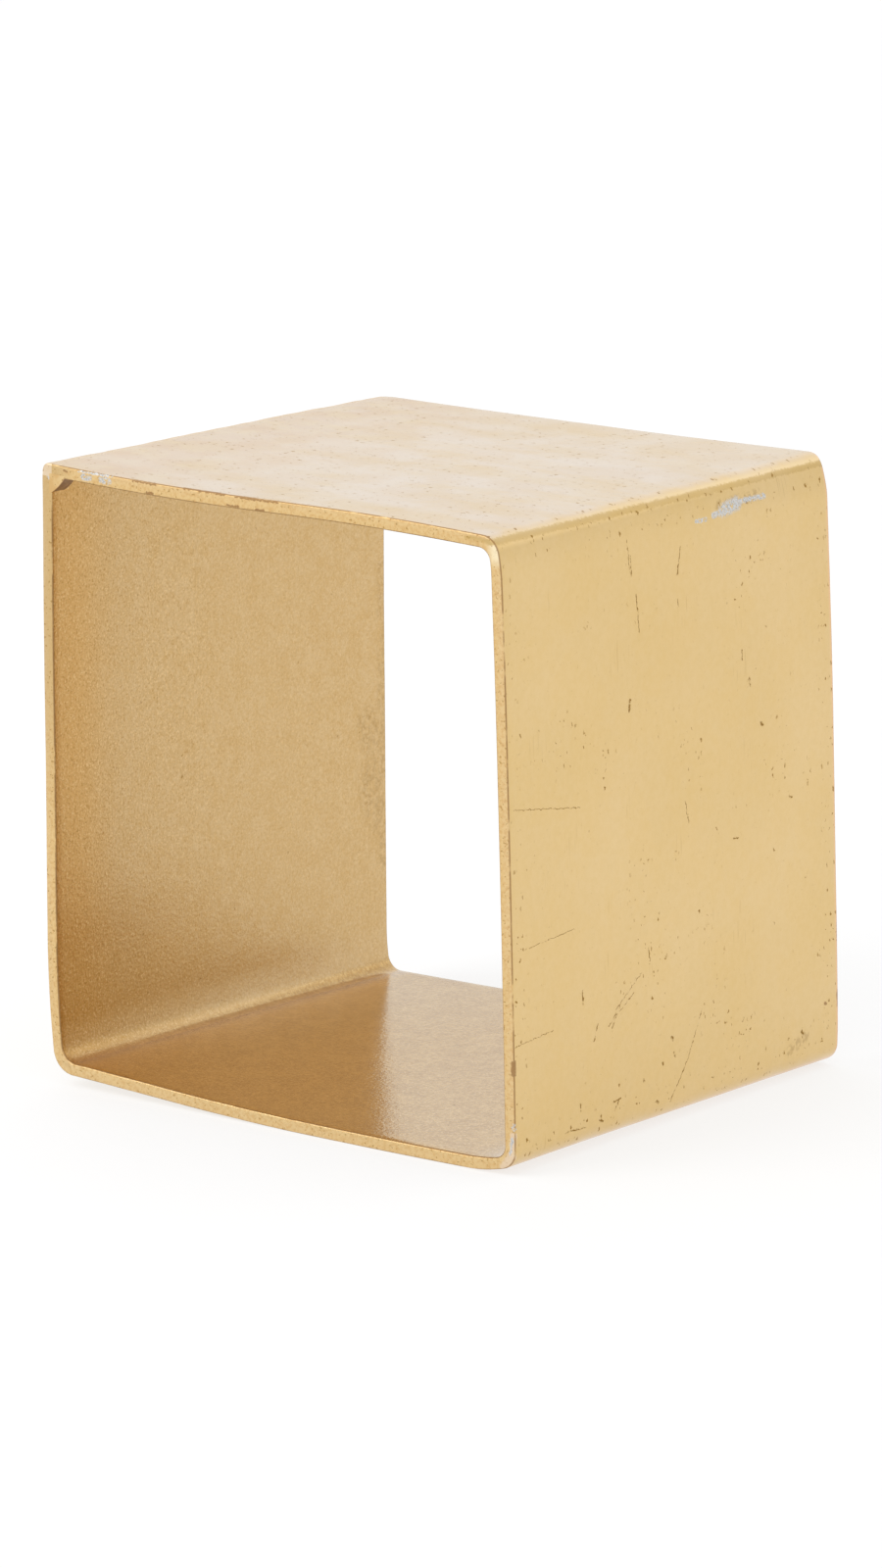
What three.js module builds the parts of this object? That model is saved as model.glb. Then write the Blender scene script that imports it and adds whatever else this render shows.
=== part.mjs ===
// An open metal cube: one flat steel bar folded round into a four-sided sleeve that is open at the front and the
// back. Its two ends meet at the upper left corner, where a bead of weld fills the outside of the corner along the
// whole depth and a short fillet weld sits inside the corner at each mouth.
//
// Millimetres, +Z up. X runs along the width, Y runs through the sleeve, and the front mouth faces -Y.
// The origin is the middle of the base, on the surface that the cube stands on.
import * as THREE from 'three';

// Overall sizes.
const BASE_WIDTH = 138;          // across the base, to where the faces of its neighbours would meet it
const LEFT_HEIGHT = 147;         // up the left leaf, from the base to the seam corner
const DEPTH = 127;               // front mouth to back mouth: the width of the flat bar

// The bar and its bends.
const BAR_THICKNESS = 3;
const INSIDE_BEND_RADIUS = 6;
const EDGE_BREAK = 0.4;          // chamfer round both mouths

// How far the hand-folded sleeve is out of square, in degrees. All three are 0 for a true rectangle.
const LEFT_LEAN = 0.5;           // the left leaf leans inwards at the top
const RIGHT_LEAN = 1.5;          // the right leaf leans inwards at the top
const TOP_FALL = 0.6;            // the top leaf falls towards the right

// The welded corner.
const ROOT_GAP = 0.3;            // between the two ends of the bar
const SEAM_RADIUS = 1.8;         // outside radius of the bead after grinding, as far as its thickness allows
const TACK_LEG = 4;              // length of a fillet's leg along each leaf
const TACK_BULGE = 0.35;         // how far a fillet's face stands out beyond a flat one
const TACK_LENGTH = 9;           // how far a fillet runs in from its mouth
const TACK_RUN_OUT = 5;          // the last part of that length, where the fillet shrinks away
const TACK_END_SIZE = 0.3;       // size of a fillet at its far end, as a share of its full size
const TOUCH_GAP = 0.3;           // between weld metal and bar

// Smoothness of the curves.
const BEND_STEPS = 20;
const SEAM_STEPS = 8;
const FILLET_STEPS = 6;
const RUN_OUT_STEPS = 9;

const PAINTED_BAR = new THREE.MeshStandardMaterial({ color: 0xd9bd80, roughness: 0.34, metalness: 0.7 });
const PAINTED_BEAD = new THREE.MeshStandardMaterial({ color: 0xd2b476, roughness: 0.42, metalness: 0.7 });
const PAINTED_FILLET = new THREE.MeshStandardMaterial({ color: 0xc9a763, roughness: 0.48, metalness: 0.7 });

const slope = (degrees) => Math.tan(THREE.MathUtils.degToRad(degrees));

// A straight line in the cross-section, as a point and a direction. The metal lies on the right of the direction.
const line = (point, direction) => ({ point, direction: direction.clone().normalize() });

const inward = ({ direction }) => new THREE.Vector2(direction.y, -direction.x);

const offset = (face, distance) => line(face.point.clone().addScaledVector(inward(face), distance), face.direction);

function meet(first, second) {
  const between = second.point.clone().sub(first.point);
  const along = between.cross(second.direction) / first.direction.cross(second.direction);
  return first.point.clone().addScaledVector(first.direction, along);
}

// The four outer faces in the cross-section, clockwise as seen from the front.
function outerFaces() {
  const baseRight = new THREE.Vector2(BASE_WIDTH, 0);
  const seamCorner = new THREE.Vector2(LEFT_HEIGHT * slope(LEFT_LEAN), LEFT_HEIGHT);
  return {
    left: line(new THREE.Vector2(0, 0), new THREE.Vector2(slope(LEFT_LEAN), 1)),
    top: line(seamCorner, new THREE.Vector2(1, -slope(TOP_FALL))),
    right: line(baseRight, new THREE.Vector2(slope(RIGHT_LEAN), -1)),
    base: line(baseRight, new THREE.Vector2(-1, 0)),
  };
}

function offsetFaces(faces, distance) {
  const moved = Object.entries(faces).map(([name, face]) => [name, offset(face, distance)]);
  return Object.fromEntries(moved);
}

// The points of an arc that rounds the corner between two faces, from the first face to the second.
function roundCorner(first, second, radius, steps) {
  const centre = meet(offset(first, radius), offset(second, radius));
  const start = inward(first).negate();
  const turn = start.angleTo(inward(second).negate());
  const points = [];
  for (let step = 0; step <= steps; step += 1) {
    const spoke = start.clone().rotateAround(new THREE.Vector2(), (-turn * step) / steps);
    points.push(centre.clone().addScaledVector(spoke, radius));
  }
  return points;
}

const OUTER = outerFaces();
const INNER = offsetFaces(OUTER, BAR_THICKNESS);

// The bar's ends: the left leaf stops under the line of the top leaf, and the top leaf stops beside the left one.
const LEFT_END = offset(INNER.top, ROOT_GAP);
const TOP_END = INNER.left;

// The three bends on one side of the bar, from the top leaf round to the left leaf.
function threeBends(faces, radius) {
  return [
    ...roundCorner(faces.top, faces.right, radius, BEND_STEPS),
    ...roundCorner(faces.right, faces.base, radius, BEND_STEPS),
    ...roundCorner(faces.base, faces.left, radius, BEND_STEPS),
  ];
}

function bandSection() {
  const outside = [meet(OUTER.top, TOP_END), ...threeBends(OUTER, INSIDE_BEND_RADIUS + BAR_THICKNESS),
    meet(OUTER.left, LEFT_END)];
  const inside = [meet(INNER.top, TOP_END), ...threeBends(INNER, INSIDE_BEND_RADIUS), meet(INNER.left, LEFT_END)];
  return [...outside, ...inside.reverse()];
}

// The bead fills the notch between the two ends and rounds the corner over. It keeps a flat beside the round on
// each side, wide enough for the mouth's chamfer.
function beadSection() {
  const radius = Math.min(SEAM_RADIUS, BAR_THICKNESS - TOUCH_GAP - 2 * EDGE_BREAK);
  const overLeftEnd = offset(LEFT_END, -TOUCH_GAP);
  const besideTopEnd = offset(TOP_END, -TOUCH_GAP);
  const roundOver = roundCorner(OUTER.left, OUTER.top, radius, SEAM_STEPS);
  return [meet(OUTER.left, overLeftEnd), ...roundOver, meet(OUTER.top, besideTopEnd),
    meet(besideTopEnd, overLeftEnd)];
}

const CENTRE_LINE = (() => {
  const width = new THREE.Box2().setFromPoints(bandSection());
  return (width.min.x + width.max.x) / 2;
})();

const centred = (points) => points.map((point) => new THREE.Vector2(point.x - CENTRE_LINE, point.y));

// Stands an extrusion up, so that its section faces the front and it runs along Y from back to front.
const standUp = (geometry, backY) => geometry.rotateX(Math.PI / 2).translate(0, backY, 0);

// A prism through the whole sleeve, with the edge round both mouths chamfered.
function fullDepthPrism(section) {
  const geometry = new THREE.ExtrudeGeometry(new THREE.Shape(centred(section)), {
    depth: DEPTH - 2 * EDGE_BREAK,
    bevelThickness: EDGE_BREAK,
    bevelSize: EDGE_BREAK,
    bevelOffset: -EDGE_BREAK,
    bevelSegments: 1,
  });
  return standUp(geometry, DEPTH / 2 - EDGE_BREAK);
}

// The corner that a fillet sits in, a touch gap away from both leaves.
const FILLET_CORNER = meet(offset(LEFT_END, TOUCH_GAP), offset(INNER.left, TOUCH_GAP));

// A fillet's section, drawn from its own corner: two legs, and a face that bulges a little between their ends.
function filletSection() {
  const legDown = INNER.left.direction.clone().multiplyScalar(-TACK_LEG);
  const legAcross = INNER.top.direction.clone().multiplyScalar(TACK_LEG);
  const outwards = legDown.clone().add(legAcross).normalize();
  const points = [new THREE.Vector2(0, 0)];
  for (let step = 0; step <= FILLET_STEPS; step += 1) {
    const share = step / FILLET_STEPS;
    const bulge = TACK_BULGE * Math.sin(Math.PI * share);
    points.push(legDown.clone().lerp(legAcross, share).addScaledVector(outwards, bulge));
  }
  return points;
}

// A fillet is full size at its mouth and shrinks towards its corner over the run-out. side is -1 at the front mouth
// and 1 at the back one.
function tackGeometry(side) {
  const geometry = new THREE.ExtrudeGeometry(new THREE.Shape(filletSection()), {
    depth: TACK_LENGTH,
    steps: RUN_OUT_STEPS,
    bevelEnabled: false,
  });
  standUp(geometry, side < 0 ? TACK_LENGTH : 0);
  const vertices = geometry.getAttribute('position');
  for (let i = 0; i < vertices.count; i += 1) {
    const fromMouth = Math.abs(vertices.getY(i));
    const runOut = THREE.MathUtils.smoothstep(fromMouth, TACK_LENGTH - TACK_RUN_OUT, TACK_LENGTH);
    const size = THREE.MathUtils.lerp(1, TACK_END_SIZE, runOut);
    vertices.setXYZ(i, vertices.getX(i) * size, vertices.getY(i), vertices.getZ(i) * size);
  }
  geometry.computeVertexNormals();
  return geometry;
}

function foldedBand() {
  const mesh = new THREE.Mesh(fullDepthPrism(bandSection()), PAINTED_BAR);
  mesh.name = 'folded_band';
  return mesh;
}

function cornerSeamWeld() {
  const mesh = new THREE.Mesh(fullDepthPrism(beadSection()), PAINTED_BEAD);
  mesh.name = 'corner_seam_weld';
  return mesh;
}

function tackWeld(name, side) {
  const mesh = new THREE.Mesh(tackGeometry(side), PAINTED_FILLET);
  mesh.name = name;
  mesh.position.set(FILLET_CORNER.x - CENTRE_LINE, side * (DEPTH / 2), FILLET_CORNER.y);
  return mesh;
}

const openMetalCube = new THREE.Group();
openMetalCube.name = 'open_metal_cube';
openMetalCube.add(foldedBand());
openMetalCube.add(cornerSeamWeld());
openMetalCube.add(tackWeld('front_tack_weld', -1));
openMetalCube.add(tackWeld('rear_tack_weld', 1));

export default openMetalCube;
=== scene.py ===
"""The looks of the open metal cube: gold paint over a folded steel bar, the weld metal that closes it, and
the studio it stands in. Lengths are in millimetres until a mesh is written, apart from the studio's."""

import math

import bmesh
import bpy
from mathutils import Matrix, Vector, noise


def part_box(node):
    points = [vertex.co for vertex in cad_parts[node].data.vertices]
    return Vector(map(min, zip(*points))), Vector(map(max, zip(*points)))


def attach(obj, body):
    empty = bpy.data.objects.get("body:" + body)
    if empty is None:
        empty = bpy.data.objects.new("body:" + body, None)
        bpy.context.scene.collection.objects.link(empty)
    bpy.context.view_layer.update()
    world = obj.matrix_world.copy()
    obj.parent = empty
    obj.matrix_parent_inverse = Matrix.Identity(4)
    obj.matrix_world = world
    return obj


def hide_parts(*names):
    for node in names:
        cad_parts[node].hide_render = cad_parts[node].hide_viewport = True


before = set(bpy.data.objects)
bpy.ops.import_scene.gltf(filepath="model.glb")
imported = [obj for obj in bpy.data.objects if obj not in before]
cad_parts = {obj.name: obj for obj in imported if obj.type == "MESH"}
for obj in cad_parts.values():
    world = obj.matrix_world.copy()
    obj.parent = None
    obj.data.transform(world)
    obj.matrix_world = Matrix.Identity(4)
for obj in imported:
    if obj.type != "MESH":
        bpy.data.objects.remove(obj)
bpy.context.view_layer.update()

MM = 0.001

# ------ the frame's sizes, in millimetres
BAND_LOW, BAND_HIGH = (Vector(corner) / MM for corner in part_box("folded_band"))
BEAD_LOW, BEAD_HIGH = (Vector(corner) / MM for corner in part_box("corner_seam_weld"))
TACK_LOW, TACK_HIGH = (Vector(corner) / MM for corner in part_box("front_tack_weld"))
HEIGHT = BEAD_HIGH.z - BAND_LOW.z
DEPTH = BAND_HIGH.y - BAND_LOW.y
WIDTH = BAND_HIGH.x - BAND_LOW.x
THICKNESS = BEAD_HIGH.z - BEAD_LOW.z
FRONT = BAND_LOW.y
TACK_LENGTH = TACK_HIGH.y - TACK_LOW.y
TACK_LEG = TACK_HIGH.z - TACK_LOW.z

# The frame's lean of each leaf, in degrees.
LEFT_LEAN = 0.5
RIGHT_LEAN = 1.5
TOP_FALL = 0.6

# Each bend outside and inside, as (radius, radius that eases it into the next leaf, degrees of easing).
TOP_RIGHT_BEND = ((4.6, 45.0, 9.0), (3.2, 30.0, 6.0))
BASE_RIGHT_BEND = ((4.2, 50.0, 9.0), (2.8, 30.0, 6.0))
BASE_LEFT_BEND = ((5.8, 130.0, 6.0), (4.0, 50.0, 8.0))
SEAM_RADIUS = 1.9
ARRIS_RADIUS = 0.45
LEFT_FACE_OUT = 0.1  # how far outside the frame's box the left leaf's outer face meets the floor
RIGHT_FACE_OUT = 0.25  # the same of the right leaf

# ------ the cross-section

TIGHT_STEPS = 16
EASING_STEPS = 6
LEAF_SPACING = 1.5


def slope(degrees):
    """The shift sideways, for each unit along, of a line that leans by that angle."""
    return math.tan(math.radians(degrees))


class Face:
    """A straight line in the cross-section. The metal lies on the right of its direction."""

    def __init__(self, point, direction):
        self.point = Vector(point)
        self.direction = Vector(direction).normalized()

    def inward(self):
        return Vector((self.direction.y, -self.direction.x))

    def offset(self, distance):
        return Face(self.point + self.inward() * distance, self.direction)

    def meet(self, other):
        between = other.point - self.point
        cross = self.direction.x * other.direction.y - self.direction.y * other.direction.x
        along = (between.x * other.direction.y - between.y * other.direction.x) / cross
        return self.point + self.direction * along


OUTER = {
    "left": Face((BAND_LOW.x - LEFT_FACE_OUT, 0.0), (slope(LEFT_LEAN), 1.0)),
    "top": Face((BEAD_LOW.x, HEIGHT), (1.0, -slope(TOP_FALL))),
    "right": Face((BAND_HIGH.x + RIGHT_FACE_OUT, 0.0), (slope(RIGHT_LEAN), -1.0)),
    "base": Face((BAND_HIGH.x, 0.0), (-1.0, 0.0)),
}
INNER = {name: face.offset(THICKNESS) for name, face in OUTER.items()}


def round_corner(first, second, radius, steps):
    """The points of an arc of that radius from one face to the next."""
    centre = first.offset(radius).meet(second.offset(radius))
    start = -first.inward()
    turn = start.angle(-second.inward())
    points = []
    for step in range(steps + 1):
        angle = -turn * step / steps
        sideways = start.x * math.cos(angle) - start.y * math.sin(angle)
        upwards = start.x * math.sin(angle) + start.y * math.cos(angle)
        points.append(centre + Vector((sideways, upwards)) * radius)
    return points


def eased_corner(first, second, bend):
    """The points of a bend between two faces: a tight arc, then a wide one that eases into the second."""
    tight, wide, ease = bend
    heading = math.atan2(first.direction.y, first.direction.x)
    turn = (heading - math.atan2(second.direction.y, second.direction.x)) % (2 * math.pi)
    easing = math.radians(ease)
    place = Vector((0.0, 0.0))
    run = [place]
    for radius, angle, steps in ((tight, turn - easing, TIGHT_STEPS), (wide, easing, EASING_STEPS)):
        half = angle / steps / 2
        for _ in range(steps):
            direction = Vector((math.cos(heading - half), math.sin(heading - half)))
            place = place + direction * (2 * radius * math.sin(half))
            run.append(place)
            heading -= 2 * half
    back = run[-1].dot(second.inward()) / first.direction.dot(second.inward())
    start = first.meet(second) - first.direction * back
    return [start + place for place in run]


def stretch(start, end, spacing):
    """Points from start towards end, without end itself, about spacing apart."""
    count = max(1, round((end - start).length / spacing))
    return [start.lerp(end, step / count) for step in range(count)]


def leaf_between(start, end):
    """The pairs of a flat leaf, from start up to but without end."""
    count = max(1, round((end[0] - start[0]).length / LEAF_SPACING))
    shares = [step / count for step in range(count)]
    return [(start[0].lerp(end[0], share), start[1].lerp(end[1], share)) for share in shares]


def bar_path():
    """The bar's run from its end on the top leaf to its end on the left leaf, as pairs of a point on the
    outside and the point across from it on the inside."""
    corners = (
        ("top", "right", TOP_RIGHT_BEND),
        ("right", "base", BASE_RIGHT_BEND),
        ("base", "left", BASE_LEFT_BEND),
    )
    bends = []
    for first, second, (outside, inside) in corners:
        outer_arc = eased_corner(OUTER[first], OUTER[second], outside)
        inner_arc = eased_corner(INNER[first], INNER[second], inside)
        bends.append(list(zip(outer_arc, inner_arc)))
    top_end = (OUTER["top"].meet(INNER["left"]), INNER["top"].meet(INNER["left"]))
    left_end = (OUTER["left"].meet(INNER["top"]), INNER["left"].meet(INNER["top"]))
    path = []
    here = top_end
    for bend in bends:
        path += leaf_between(here, bend[0])
        path += bend[:-1]
        here = bend[-1]
    path += leaf_between(here, left_end)
    path.append(left_end)
    return path


# ------ what hand work did to the shape

TWIST_TOP = 0.7  # how far the corners of the top leaf are off one plane
TWIST_BASE = 0.6  # the same of the base leaf
RIGHT_TOP_IN = 0.42  # how far the right leaf leans in at its top, past the frame's lean
RIGHT_FOOT_OUT = 0.75  # and out at its foot
RIGHT_BACK_MORE = 0.3  # the share by which the back of the right leaf does it more than its middle
LEFT_TOP_OUT = (0.45, 2.2)  # how far the left leaf leans out at its top, at the front and at the back
GROUND_CORNER = 1.6  # how far grinding drew in the back end of the seam
RIGHT_BOW = 0.6  # outwards, half way up the right leaf
RIGHT_FOOT_UP = 0.6  # how much shorter the right leaf is than the left
BACK_DROP = 1.7  # how much longer the right leaf is at its back edge
BACK_DROP_CURVE = 1.4  # the power by which that grows towards the back
BEND_EASED = 1.8  # how far the bend at the top right is drawn in at its back end
FOOT_EASED = 0.3  # the same of the bend at the foot of the right leaf
EASED_RISE = 0.6  # the share of both by which these bends also move up or down
CORNER_ROUND = 2.2  # how far the back end of the top leaf is rounded off at the seam
BASE_LIFT = 0.45  # how far the ends of the base leaf curl up at the front mouth
BASE_BELLY = 0.8  # how far the rest of that edge hangs down
TOP_WAVE = 0.6  # the ripple along the front edge of the top leaf
TOP_SAG = 0.45  # the sag of its back edge
LEFT_FOOT_IN = 0.9  # how far the foot of the left leaf leans in at the front
FOOT_TUCK = 0.7  # how much further its last part turns in
BASE_CURL = 1.0  # how far the left end of the base leaf curls up at the front
UNEVENNESS = 0.12  # slow unevenness of every leaf
UNEVEN_SCALE = 45.0
UNEVEN_SEED = 5
noise.seed_set(UNEVEN_SEED)  # without a seed, noise_vector takes its offsets from the clock


def fade(value, low, high):
    """0 below low, 1 above high, and smooth between them. low may be above high."""
    share = min(max((value - low) / (high - low), 0.0), 1.0)
    return share * share * (3.0 - 2.0 * share)


class Whereabouts:
    """Where a point lies on the cube, as shares of its size."""

    def __init__(self, place):
        self.across = place.x / (WIDTH / 2)  # -1 at the left, 1 at the right
        self.through = place.y / (DEPTH / 2)  # -1 at the front, 1 at the back
        self.up = place.z / HEIGHT  # 0 at the foot, 1 at the top
        self.near = fade(place.y, DEPTH / 2, FRONT)  # 0 at the back, 1 at the front
        self.to_right = min(max((self.across + 1.0) / 2, 0.0), 1.0)
        self.to_left = 1.0 - self.to_right


def leaning_leaves(at):
    """How far a point moves because the upright leaves lean and bow, and the level ones twist."""
    more = 1.0 + RIGHT_BACK_MORE * at.through
    on_right = fade(at.across, 0.75, 0.95)
    bowed = math.sin(math.pi * min(max(at.up, 0.0), 1.0))
    far = max(0.5 + 0.5 * at.through, 0.0) ** BACK_DROP_CURVE
    shift = Vector((0, 0, 0))
    shift.x += at.to_right * more * (RIGHT_FOOT_OUT * (1.0 - at.up) - RIGHT_TOP_IN * at.up)
    shift.x -= at.to_left * at.up * (LEFT_TOP_OUT[0] * at.near + LEFT_TOP_OUT[1] * (1.0 - at.near))
    shift.x += RIGHT_BOW * on_right * bowed
    shift.z += at.across * at.through * (TWIST_TOP * at.up + TWIST_BASE * (1.0 - at.up))
    shift.z += RIGHT_FOOT_UP * at.to_right**2 * (1.0 - at.up)
    shift.z -= BACK_DROP * at.to_right**2 * far * (1.0 - at.up)
    return shift


def worked_corners(at):
    """How far a point moves because the bends on the right are drawn in behind, and the seam is ground."""
    back_of_right = fade(at.across, 0.9, 1.0) * fade(at.through, 0.1, 0.9)
    top_bend = BEND_EASED * back_of_right * fade(at.up, 0.92, 1.0)
    foot_bend = FOOT_EASED * back_of_right * fade(at.up, 0.08, 0.0)
    ground = fade(at.up, 0.8, 1.0) * (1.0 - at.near) ** 2 * fade(at.across, -0.7, -1.0)
    seam_end = fade(at.up, 0.9, 1.0) * fade(at.through, 0.8, 1.0) * fade(at.across, -0.9, -1.0)
    shift = Vector((0, 0, 0))
    shift.x += GROUND_CORNER * ground - top_bend - foot_bend
    shift.y -= CORNER_ROUND * seam_end
    shift.z += EASED_RISE * (foot_bend - top_bend)
    return shift


def uneven_mouths(at):
    """How far a point moves because the edges of the mouths curl, hang down, ripple and sag."""
    on_top = fade(at.up, 0.8, 0.97)
    on_base = fade(at.up, 0.2, 0.03)
    shift = Vector((0, 0, 0))
    shift.x += LEFT_FOOT_IN * at.near * at.to_left * (1.0 - at.up)
    shift.x += FOOT_TUCK * at.near * fade(at.up, 0.22, 0.05) * fade(at.across, -0.2, -0.9)
    shift.z += BASE_CURL * at.near * on_base * fade(at.across, -0.3, -1.0)
    shift.z += BASE_LIFT * at.near * on_base * (at.across - 0.2) ** 2
    shift.z -= BASE_BELLY * at.near * on_base * fade(at.across, -0.6, 0.1) * fade(at.across, 1.0, 0.8)
    shift.z -= TOP_WAVE * at.near * on_top * math.sin(2 * math.pi * at.to_right)
    shift.z -= TOP_SAG * (1.0 - at.near) * on_top * math.sin(math.pi * at.to_right)
    return shift


def hand_made(place):
    """The place, in millimetres, that a point of the true shape has on the hand-folded cube."""
    at = Whereabouts(place)
    uneven = noise.noise_vector(place / UNEVEN_SCALE) * UNEVENNESS
    return place + leaning_leaves(at) + worked_corners(at) + uneven_mouths(at) + uneven


# ------ building meshes

SHARP_ANGLE = 40.0  # in degrees


def write_mesh(name, places, faces, attributes=None, strip=None):
    """A mesh object. attributes maps a name to one number per vertex, and strip gives each vertex's place
    on the unrolled bar, which becomes a UV map."""
    mesh = bpy.data.meshes.new(name)
    mesh.from_pydata([hand_made(place) * MM for place in places], [], faces)
    for key, values in (attributes or {}).items():
        mesh.attributes.new(key, "FLOAT", "POINT").data.foreach_set("value", values)
    if strip:
        layer = mesh.uv_layers.new(name="strip")
        for loop in mesh.loops:
            layer.data[loop.index].uv = strip[loop.vertex_index]
    shell = bmesh.new()
    shell.from_mesh(mesh)
    bmesh.ops.recalc_face_normals(shell, faces=shell.faces)
    shell.to_mesh(mesh)
    shell.free()
    mesh.shade_smooth()
    mesh.set_sharp_from_angle(angle=math.radians(SHARP_ANGLE))
    piece = bpy.data.objects.new(name, mesh)
    bpy.context.collection.objects.link(piece)
    return piece


def sweep(rings):
    """Vertices and faces of a closed tube through rings of as many places each, capped at both ends."""
    size = len(rings[0])
    places = [place for ring in rings for place in ring]
    faces = []
    for row in range(len(rings) - 1):
        for i in range(size):
            j = (i + 1) % size
            faces.append((row * size + i, row * size + j, (row + 1) * size + j, (row + 1) * size + i))
    last = (len(rings) - 1) * size
    faces.append(tuple(range(size)))
    faces.append(tuple(range(last, last + size)))
    return places, faces


ACROSS_SPACING = 2.0
RIM_SPACING = 0.5
ARRIS_STEPS = 5
ARRIS_WOBBLE = 0.07  # how far thick paint and small nicks move the edge of a mouth
ARRIS_WOBBLE_SCALE = 3.0


def bar_outline():
    """The outline of the bar cut across, with its four arrises rounded, as (place across the bar, depth
    below its outer face)."""
    half = DEPTH / 2 - ARRIS_RADIUS
    near, far = ARRIS_RADIUS, THICKNESS - ARRIS_RADIUS
    arrises = ((half, near, 90), (half, far, 0), (-half, far, -90), (-half, near, -180))
    arcs = []
    for across, depth, start in arrises:
        angles = [math.radians(start - 90 * step / ARRIS_STEPS) for step in range(ARRIS_STEPS + 1)]
        spokes = [Vector((math.cos(angle), -math.sin(angle))) * ARRIS_RADIUS for angle in angles]
        arcs.append([Vector((across, depth)) + spoke for spoke in spokes])
    outline = []
    for number, arc in enumerate(arcs):
        following = arcs[(number + 1) % len(arcs)]
        spacing = RIM_SPACING if number % 2 == 0 else ACROSS_SPACING
        outline += arc[:-1] + stretch(arc[-1], following[0], spacing)
    return outline


def folded_band():
    """The bar, swept round its path. Its vertices carry how far inside and how near a rim they are, and the
    distances from the outer and the inner arris in millimetres."""
    outline = bar_outline()
    half = DEPTH / 2
    arris = half - ARRIS_RADIUS * (1 - math.sqrt(0.5))
    rings, strip = [], []
    keys = ("inside", "rim", "outer_arris", "inner_arris")
    attributes = {key: [] for key in keys}
    run = 0.0
    before = None
    for outer, inner in bar_path():
        middle = (outer + inner) / 2
        run += (middle - before).length if before else 0.0
        before = middle
        ring = []
        for across, depth in outline:
            flat = outer.lerp(inner, depth / THICKNESS)
            place = Vector((flat.x, across, flat.y))
            edge = fade(abs(across), half - 2 * ARRIS_RADIUS, half)
            wobble = noise.noise(place / ARRIS_WOBBLE_SCALE) * ARRIS_WOBBLE * edge
            place.y += math.copysign(wobble, across)
            ring.append(place)
            strip.append((run, across))
            attributes["inside"].append(fade(depth, THICKNESS * 0.3, THICKNESS * 0.7))
            attributes["rim"].append(fade(abs(across), half - ARRIS_RADIUS, half - 0.1 * ARRIS_RADIUS))
            attributes["outer_arris"].append(math.hypot(abs(across) - arris, depth))
            attributes["inner_arris"].append(math.hypot(abs(across) - arris, THICKNESS - depth))
        rings.append(ring)
    places, faces = sweep(rings)
    return write_mesh("folded_band_painted", places, faces, attributes, strip)


BEAD_SPACING = 1.0
BEAD_RIPPLE = 0.1  # height of what grinding left of the bead's ripple
BEAD_RIPPLE_SCALE = 6.0


def mouth_inset(across):
    """How far the rounded arris draws a face in at this place across the bar."""
    into = abs(across) - (DEPTH / 2 - ARRIS_RADIUS)
    return ARRIS_RADIUS - math.sqrt(max(ARRIS_RADIUS**2 - into**2, 0.0)) if into > 0 else 0.0


def rounded_run(half, spacing):
    """Places across the bar from mouth to mouth, closer together in the rounded arrises."""
    angles = [math.pi / 2 * step / ARRIS_STEPS for step in range(ARRIS_STEPS + 1)]
    arc = [half - ARRIS_RADIUS * (1 - math.sin(angle)) for angle in angles]
    count = round(2 * arc[0] / spacing)
    middle = [-arc[0] + 2 * arc[0] * step / count for step in range(1, count)]
    return [-place for place in reversed(arc)] + middle + arc


SEAM_STEPS = 10


def corner_bead():
    """The ground bead: it carries the faces of both leaves round the corner, and fills the notch behind."""
    rings = []
    notch = INNER["left"].meet(INNER["top"])
    for across in rounded_run(DEPTH / 2, BEAD_SPACING):
        inset = mouth_inset(across)
        left = OUTER["left"].offset(inset)
        top = OUTER["top"].offset(inset)
        rounded = round_corner(left, top, SEAM_RADIUS, SEAM_STEPS)
        section = [left.meet(INNER["top"])] + rounded + [top.meet(INNER["left"]), notch]
        ring = [Vector((point.x, across, point.y)) for point in section]
        for place in ring[1:-2]:
            ripple = noise.noise(place / BEAD_RIPPLE_SCALE) * BEAD_RIPPLE
            place += Vector((-ripple, 0.0, ripple))
        rings.append(ring)
    places, faces = sweep(rings)
    return write_mesh("corner_bead_painted", places, faces)


FILLET_STEPS = 14
FILLET_RUN = 26
FILLET_BULGE = 0.45
FILLET_ROUND = 0.7  # below 1 makes the bulge fuller
FILLET_TAPER = 0.75  # how much smaller it is at its hidden end
FILLET_PROUD = 0.04  # how far its flat end stands out of the mouth
FILLET_LUMPS = 0.16
FILLET_LUMP_SCALE = 2.2
FILLET_ROOT = 0.7  # how far the fillet's legs are sunk in the leaves, so that no gap shows


def tack_fillet(name, side):
    """The fillet in the seam corner at one mouth. side is -1 at the front and 1 at the back."""
    root = INNER["left"].offset(-FILLET_ROOT).meet(INNER["top"].offset(-FILLET_ROOT))
    down = -INNER["left"].direction
    across = INNER["top"].direction
    outwards = (down + across).normalized()
    rings = []
    for row in range(FILLET_RUN + 1):
        share = row / FILLET_RUN
        size = 1.0 - FILLET_TAPER * fade(share, 0.5, 1.0)
        leg = (TACK_LEG + FILLET_ROOT) * size
        through = side * (DEPTH / 2 + FILLET_PROUD - (TACK_LENGTH + FILLET_PROUD) * share)
        ring = [Vector((root.x, through, root.y))]
        for step in range(FILLET_STEPS + 1):
            along = step / FILLET_STEPS
            crown = math.sin(math.pi * along)
            bulge = FILLET_BULGE * crown**FILLET_ROUND * size
            point = root + down * leg * (1 - along) + across * leg * along + outwards * bulge
            place = Vector((point.x, through, point.y))
            lump = noise.noise(place / FILLET_LUMP_SCALE) * FILLET_LUMPS * crown * fade(share, 0.0, 0.2)
            ring.append(place + Vector((outwards.x, 0.0, outwards.y)) * lump)
        rings.append(ring)
    places, faces = sweep(rings)
    return write_mesh(name, places, faces)


# ------ material nodes


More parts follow.
